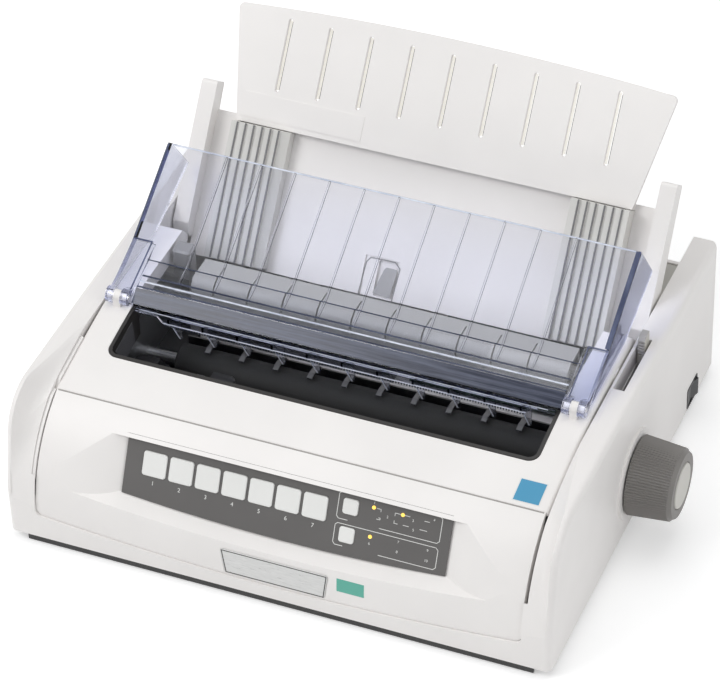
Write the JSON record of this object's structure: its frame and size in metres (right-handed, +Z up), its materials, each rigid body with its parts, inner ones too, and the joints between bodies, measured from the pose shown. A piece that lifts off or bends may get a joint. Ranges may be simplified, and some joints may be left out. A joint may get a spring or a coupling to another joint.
{
  "type": "dot matrix printer",
  "caption": "Desktop impact printer with a lift-off top cover, hinged clear flap, turning platen, sliding head carriage and folding sheet support.",
  "frame": {"origin": "middle of the case at desk level, where the four feet stand", "axes": "+X to the operator's right, the knob side; +Y to the rear; +Z up"},
  "size_m": [0.4341, 0.3528, 0.2382],
  "materials": {
    "housing_plastic": "fine textured warm off-white",
    "guide_plastic": "fine textured light grey-beige",
    "panel_plastic": "satin dark grey",
    "key_plastic": "satin light grey",
    "badge_plastic": "bare satin plate",
    "lamp_plastic": "clear green lens",
    "tinted_clear": "blue-grey tinted clear plastic",
    "trim_plastic": "dark blue-black",
    "knob_plastic": "mid grey, ribbed",
    "knob_cap_plastic": "light grey",
    "switch_plastic": "black",
    "mechanism_plastic": "black moulded",
    "gear_plastic": "natural white moulded",
    "scale_plastic": "grey",
    "platen_rubber": "ground black rubber",
    "foot_rubber": "soft dark rubber",
    "belt_rubber": "black toothed belt",
    "shaft_steel": "ground bright steel",
    "frame_steel": "zinc-plated sheet",
    "plate_steel": "grey sheet",
    "motor_metal": "black motor can",
    "head_aluminium": "cast with fins",
    "board_green": "green circuit board"
  },
  "bodies": {
    "chassis": {"base_pan": "housing_plastic", "bottom_plate": "plate_steel", "foot_front_left": "foot_rubber", "foot_front_right": "foot_rubber", "foot_rear_left": "foot_rubber", "foot_rear_right": "foot_rubber", "upper_housing": "housing_plastic", "front_fascia": "housing_plastic", "badge_plate": "badge_plastic", "control_panel": "panel_plastic", "light_guide": "lamp_plastic", "exit_guide": "mechanism_plastic", "release_block": "guide_plastic", "side_frame_left": "frame_steel", "side_frame_right": "frame_steel", "deck_pan": "frame_steel", "guide_shaft": "shaft_steel", "feed_motor": "motor_metal", "drive_belt": "belt_rubber", "carriage_motor": "motor_metal", "paper_pan": "frame_steel", "switch_frame": "switch_plastic", "rear_deck": "guide_plastic", "tractor_bar": "shaft_steel", "main_board": "board_green", "power_supply": "plate_steel"},
    "cover": {"top_cover": "housing_plastic", "window_trim": "trim_plastic", "tear_bar": "tinted_clear", "scale_bar": "scale_plastic"},
    "flap": {"clear_flap": "tinted_clear"},
    "platen_roll": {"platen_shaft": "shaft_steel", "platen": "platen_rubber", "platen_gear": "gear_plastic", "platen_knob": "knob_plastic", "knob_cap": "knob_cap_plastic"},
    "pinion": {"feed_pinion": "gear_plastic"},
    "print_carriage": {"carriage": "mechanism_plastic", "print_head": "head_aluminium", "ribbon_cartridge": "mechanism_plastic"},
    "motor_pulley": {"motor_pulley": "gear_plastic"},
    "idler_pulley": {"idler_pulley": "gear_plastic"},
    "sheet_support": {"support_frame": "guide_plastic", "support_extension": "guide_plastic"},
    "guide_left": {"sheet_guide_left": "guide_plastic"},
    "guide_right": {"sheet_guide_right": "guide_plastic"},
    "lever": {"paper_lever": "guide_plastic"},
    "rocker": {"power_rocker": "switch_plastic"},
    "tractor_left": {"tractor_left": "mechanism_plastic"},
    "tractor_right": {"tractor_right": "mechanism_plastic"},
    "key_1": {"key_1": "key_plastic"},
    "key_2": {"key_2": "key_plastic"},
    "key_3": {"key_3": "key_plastic"},
    "key_4": {"key_4": "key_plastic"},
    "key_5": {"key_5": "key_plastic"},
    "key_6": {"key_6": "key_plastic"},
    "key_7": {"key_7": "key_plastic"},
    "small_key_1": {"small_key_1": "key_plastic"},
    "small_key_2": {"small_key_2": "key_plastic"}
  },
  "joints": [
    {"name": "cover_lift", "type": "slide", "parent": "chassis", "child": "cover", "axis": [0, 0, 1], "range_m": [0, 0.06]},
    {"name": "flap_hinge", "type": "hinge", "parent": "cover", "child": "flap", "pos_m": [0, -0.042, 0.1258], "axis": [1, 0, 0], "range_deg": [0, 60]},
    {"name": "platen_turn", "type": "hinge", "parent": "chassis", "child": "platen_roll", "pos_m": [0, -0.008, 0.048], "axis": [1, 0, 0], "continuous": true},
    {"name": "pinion_turn", "type": "hinge", "parent": "chassis", "child": "pinion", "pos_m": [-0.17, 0.018, 0.0292], "axis": [1, 0, 0], "continuous": true},
    {"name": "carriage_slide", "type": "slide", "parent": "chassis", "child": "print_carriage", "axis": [1, 0, 0], "range_m": [0, 0.236]},
    {"name": "motor_pulley_turn", "type": "hinge", "parent": "chassis", "child": "motor_pulley", "pos_m": [-0.1525, -0.024, 0.016], "axis": [0, 0, 1], "continuous": true},
    {"name": "idler_pulley_turn", "type": "hinge", "parent": "chassis", "child": "idler_pulley", "pos_m": [0.1525, -0.024, 0.016], "axis": [0, 0, 1], "continuous": true},
    {"name": "support_hinge", "type": "hinge", "parent": "chassis", "child": "sheet_support", "pos_m": [0, 0.07991, 0.0975], "axis": [-1, 0, 0], "range_deg": [0, 30]},
    {"name": "guide_left_slide", "type": "slide", "parent": "sheet_support", "child": "guide_left", "axis": [1, 0, 0], "range_m": [0, 0.07]},
    {"name": "guide_right_slide", "type": "slide", "parent": "sheet_support", "child": "guide_right", "axis": [-1, 0, 0], "range_m": [0, 0.035]},
    {"name": "lever_hinge", "type": "hinge", "parent": "chassis", "child": "lever", "pos_m": [0.1865, 0.046, 0.044], "axis": [1, 0, 0], "range_deg": [0, 33]},
    {"name": "rocker_hinge", "type": "hinge", "parent": "chassis", "child": "rocker", "pos_m": [0.1925, 0.123, 0.017], "axis": [0, 0, 1], "range_deg": [0, 12]},
    {"name": "tractor_left_slide", "type": "slide", "parent": "chassis", "child": "tractor_left", "axis": [1, 0, 0], "range_m": [0, 0.1]},
    {"name": "tractor_right_slide", "type": "slide", "parent": "chassis", "child": "tractor_right", "axis": [-1, 0, 0], "range_m": [0, 0.1]},
    {"name": "key_1_press", "type": "slide", "parent": "chassis", "child": "key_1", "axis": [0, 0.9032, -0.4291], "range_m": [0, 0.0008], "stiffness_N_per_m": 400, "springref_m": -0.0005},
    {"name": "key_2_press", "type": "slide", "parent": "chassis", "child": "key_2", "axis": [0, 0.9032, -0.4291], "range_m": [0, 0.0008], "stiffness_N_per_m": 400, "springref_m": -0.0005},
    {"name": "key_3_press", "type": "slide", "parent": "chassis", "child": "key_3", "axis": [0, 0.9032, -0.4291], "range_m": [0, 0.0008], "stiffness_N_per_m": 400, "springref_m": -0.0005},
    {"name": "key_4_press", "type": "slide", "parent": "chassis", "child": "key_4", "axis": [0, 0.9032, -0.4291], "range_m": [0, 0.0008], "stiffness_N_per_m": 400, "springref_m": -0.0005},
    {"name": "key_5_press", "type": "slide", "parent": "chassis", "child": "key_5", "axis": [0, 0.9032, -0.4291], "range_m": [0, 0.0008], "stiffness_N_per_m": 400, "springref_m": -0.0005},
    {"name": "key_6_press", "type": "slide", "parent": "chassis", "child": "key_6", "axis": [0, 0.9032, -0.4291], "range_m": [0, 0.0008], "stiffness_N_per_m": 400, "springref_m": -0.0005},
    {"name": "key_7_press", "type": "slide", "parent": "chassis", "child": "key_7", "axis": [0, 0.9032, -0.4291], "range_m": [0, 0.0008], "stiffness_N_per_m": 400, "springref_m": -0.0005},
    {"name": "small_key_1_press", "type": "slide", "parent": "chassis", "child": "small_key_1", "axis": [0, 0.9032, -0.4291], "range_m": [0, 0.0008], "stiffness_N_per_m": 400, "springref_m": -0.0005},
    {"name": "small_key_2_press", "type": "slide", "parent": "chassis", "child": "small_key_2", "axis": [0, 0.9032, -0.4291], "range_m": [0, 0.0008], "stiffness_N_per_m": 400, "springref_m": -0.0005}
  ],
  "couplings": [
    {"joint": "pinion_turn", "follows": "platen_turn", "ratio": -3},
    {"joint": "motor_pulley_turn", "follows": "carriage_slide", "rad_per_m": 114.29},
    {"joint": "idler_pulley_turn", "follows": "carriage_slide", "rad_per_m": 114.29}
  ]
}
